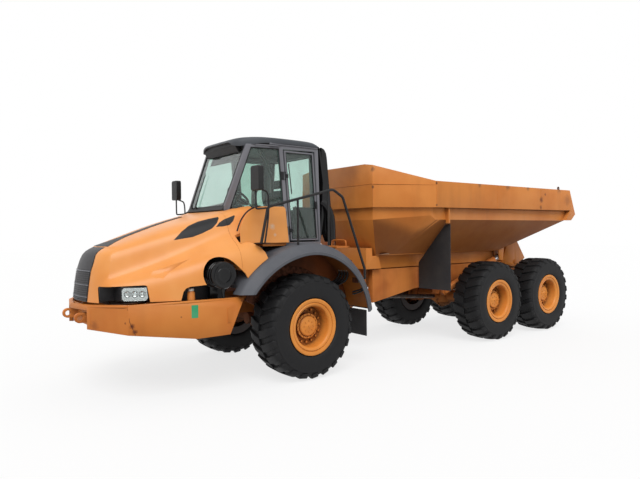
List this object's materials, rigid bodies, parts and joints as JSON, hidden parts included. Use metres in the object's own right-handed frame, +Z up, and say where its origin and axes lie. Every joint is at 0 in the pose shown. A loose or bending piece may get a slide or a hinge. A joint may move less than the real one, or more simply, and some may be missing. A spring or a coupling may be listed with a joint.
{
  "type": "articulated dump truck",
  "caption": "Articulated dump truck with a hollow cab, a load body that tips to the rear, a forward-tilting hood and a steering hinge behind the cab.",
  "frame": {"origin": "on the ground under the middle of the truck's length and width", "axes": "+Z up, +Y towards the tail, +X towards the driver's left"},
  "size_m": [2.94, 10.3769, 3.6],
  "materials": {
    "orange_paint": "satin enamel, dusty",
    "body_paint": "worn satin enamel, dirty",
    "rim_paint": "satin enamel with brown dirt",
    "charcoal_paint": "satin",
    "fender_plastic": "matt moulded",
    "trim_plastic": "matt moulded",
    "gloss_plastic": "semi-gloss",
    "tyre_rubber": "matt, dusty",
    "flap_rubber": "matt sheet",
    "window_glass": "clear, green tint",
    "lamp_lens": "clear moulded lens",
    "amber_lens": "moulded lens",
    "mirror_glass": "polished",
    "cast_metal": "rough, oily dirt",
    "chrome_rod": "polished",
    "bare_steel": "zinc plated fittings",
    "seat_fabric": "woven, worn"
  },
  "bodies": {
    "front_frame": {"front_chassis": "orange_paint", "front_axle": "cast_metal", "engine": "cast_metal", "bumper": "orange_paint", "front_fenders": "fender_plastic", "wheel_house_panels": "orange_paint", "front_mud_flaps": "flap_rubber", "cab_frame": "charcoal_paint", "cab_floor": "charcoal_paint", "cab_roof": "charcoal_paint", "cab_windows": "window_glass", "cab_seat": "seat_fabric", "cab_controls": "trim_plastic", "side_cowls": "orange_paint", "air_cleaner": "trim_plastic", "handrails": "charcoal_paint", "mirrors": "charcoal_paint", "exhaust_stack": "bare_steel"},
    "hood": {"hood": "orange_paint", "grille": "trim_plastic", "headlights": "gloss_plastic"},
    "cab_door": {"cab_door": "charcoal_paint", "door_window": "window_glass"},
    "hitch": {"hitch": "body_paint"},
    "rear_frame": {"rear_chassis": "body_paint", "middle_axle": "cast_metal", "rear_axle": "cast_metal", "bogie_beams": "cast_metal", "drive_shafts": "cast_metal"},
    "dump_body": {"dump_floor": "body_paint", "dump_sides": "body_paint", "headboard": "body_paint", "dump_flaps": "flap_rubber"},
    "tip_barrels": {"tip_barrels": "charcoal_paint"},
    "tip_rods": {"tip_rods": "chrome_rod"},
    "steering_barrel_left": {"steering_barrel_left": "charcoal_paint"},
    "steering_barrel_right": {"steering_barrel_right": "charcoal_paint"},
    "steering_rod_left": {"steering_rod_left": "chrome_rod"},
    "steering_rod_right": {"steering_rod_right": "chrome_rod"},
    "wheel_front_left": {"tyre_front_left": "tyre_rubber", "rim_front_left": "rim_paint"},
    "wheel_front_right": {"tyre_front_right": "tyre_rubber", "rim_front_right": "rim_paint"},
    "wheel_middle_left": {"tyre_middle_left": "tyre_rubber", "rim_middle_left": "rim_paint"},
    "wheel_middle_right": {"tyre_middle_right": "tyre_rubber", "rim_middle_right": "rim_paint"},
    "wheel_rear_left": {"tyre_rear_left": "tyre_rubber", "rim_rear_left": "rim_paint"},
    "wheel_rear_right": {"tyre_rear_right": "tyre_rubber", "rim_rear_right": "rim_paint"}
  },
  "joints": [
    {"name": "steer_pivot", "type": "hinge", "parent": "front_frame", "child": "hitch", "pos_m": [0, -1.085, 0.95], "axis": [0, 0, 1], "range_deg": [-45, 45]},
    {"name": "frame_roll", "type": "hinge", "parent": "hitch", "child": "rear_frame", "pos_m": [0, -0.54, 0.95], "axis": [0, 1, 0], "range_deg": [-15, 15]},
    {"name": "tip", "type": "hinge", "parent": "rear_frame", "child": "dump_body", "pos_m": [0, 4.065, 1.44], "axis": [-1, 0, 0], "range_deg": [0, 70]},
    {"name": "tip_barrel_swing", "type": "hinge", "parent": "rear_frame", "child": "tip_barrels", "pos_m": [0.7, 1.565, 0.97], "axis": [1, 0, 0], "range_deg": [-1, 8.45]},
    {"name": "tip_rod_slide", "type": "slide", "parent": "tip_barrels", "child": "tip_rods", "axis": [0, 0.9471, 0.321], "range_m": [-0.005, 0.7694]},
    {"name": "cab_door_hinge", "type": "hinge", "parent": "front_frame", "child": "cab_door", "pos_m": [0.762, -2.128, 2.01], "axis": [0, 0.0813, -0.9967], "range_deg": [0, 60]},
    {"name": "hood_hinge", "type": "hinge", "parent": "front_frame", "child": "hood", "pos_m": [0, -5.035, 1.32], "axis": [1, 0, 0], "range_deg": [0, 60]},
    {"name": "steer_barrel_swing_left", "type": "hinge", "parent": "front_frame", "child": "steering_barrel_left", "pos_m": [0.34, -1.965, 0.84], "axis": [0, 0, 1], "range_deg": [-1.5, 1.5]},
    {"name": "steer_rod_slide_left", "type": "slide", "parent": "steering_barrel_left", "child": "steering_rod_left", "axis": [-0.0425, 0.9991, 0], "range_m": [-0.225, 0.225]},
    {"name": "steer_barrel_swing_right", "type": "hinge", "parent": "front_frame", "child": "steering_barrel_right", "pos_m": [-0.34, -1.965, 0.84], "axis": [0, 0, 1], "range_deg": [-1.5, 1.5]},
    {"name": "steer_rod_slide_right", "type": "slide", "parent": "steering_barrel_right", "child": "steering_rod_right", "axis": [0.0425, 0.9991, 0], "range_m": [-0.225, 0.225]},
    {"name": "wheel_front_left_spin", "type": "hinge", "parent": "front_frame", "child": "wheel_front_left", "pos_m": [1.14, -2.185, 0.77], "axis": [1, 0, 0], "continuous": true},
    {"name": "wheel_front_right_spin", "type": "hinge", "parent": "front_frame", "child": "wheel_front_right", "pos_m": [-1.14, -2.185, 0.77], "axis": [1, 0, 0], "continuous": true},
    {"name": "wheel_middle_left_spin", "type": "hinge", "parent": "rear_frame", "child": "wheel_middle_left", "pos_m": [1.14, 2.365, 0.77], "axis": [1, 0, 0], "continuous": true},
    {"name": "wheel_middle_right_spin", "type": "hinge", "parent": "rear_frame", "child": "wheel_middle_right", "pos_m": [-1.14, 2.365, 0.77], "axis": [1, 0, 0], "continuous": true},
    {"name": "wheel_rear_left_spin", "type": "hinge", "parent": "rear_frame", "child": "wheel_rear_left", "pos_m": [1.14, 4.145, 0.77], "axis": [1, 0, 0], "continuous": true},
    {"name": "wheel_rear_right_spin", "type": "hinge", "parent": "rear_frame", "child": "wheel_rear_right", "pos_m": [-1.14, 4.145, 0.77], "axis": [1, 0, 0], "continuous": true}
  ],
  "couplings": [
    {"joint": "tip_barrel_swing", "follows": "tip", "ratio": 0.1065},
    {"joint": "tip_rod_slide", "follows": "tip", "m_per_rad": 0.6257},
    {"joint": "steer_barrel_swing_left", "follows": "steer_pivot", "ratio": 0.0184},
    {"joint": "steer_rod_slide_left", "follows": "steer_pivot", "m_per_rad": 0.275},
    {"joint": "steer_barrel_swing_right", "follows": "steer_pivot", "ratio": 0.0184},
    {"joint": "steer_rod_slide_right", "follows": "steer_pivot", "m_per_rad": -0.275}
  ]
}
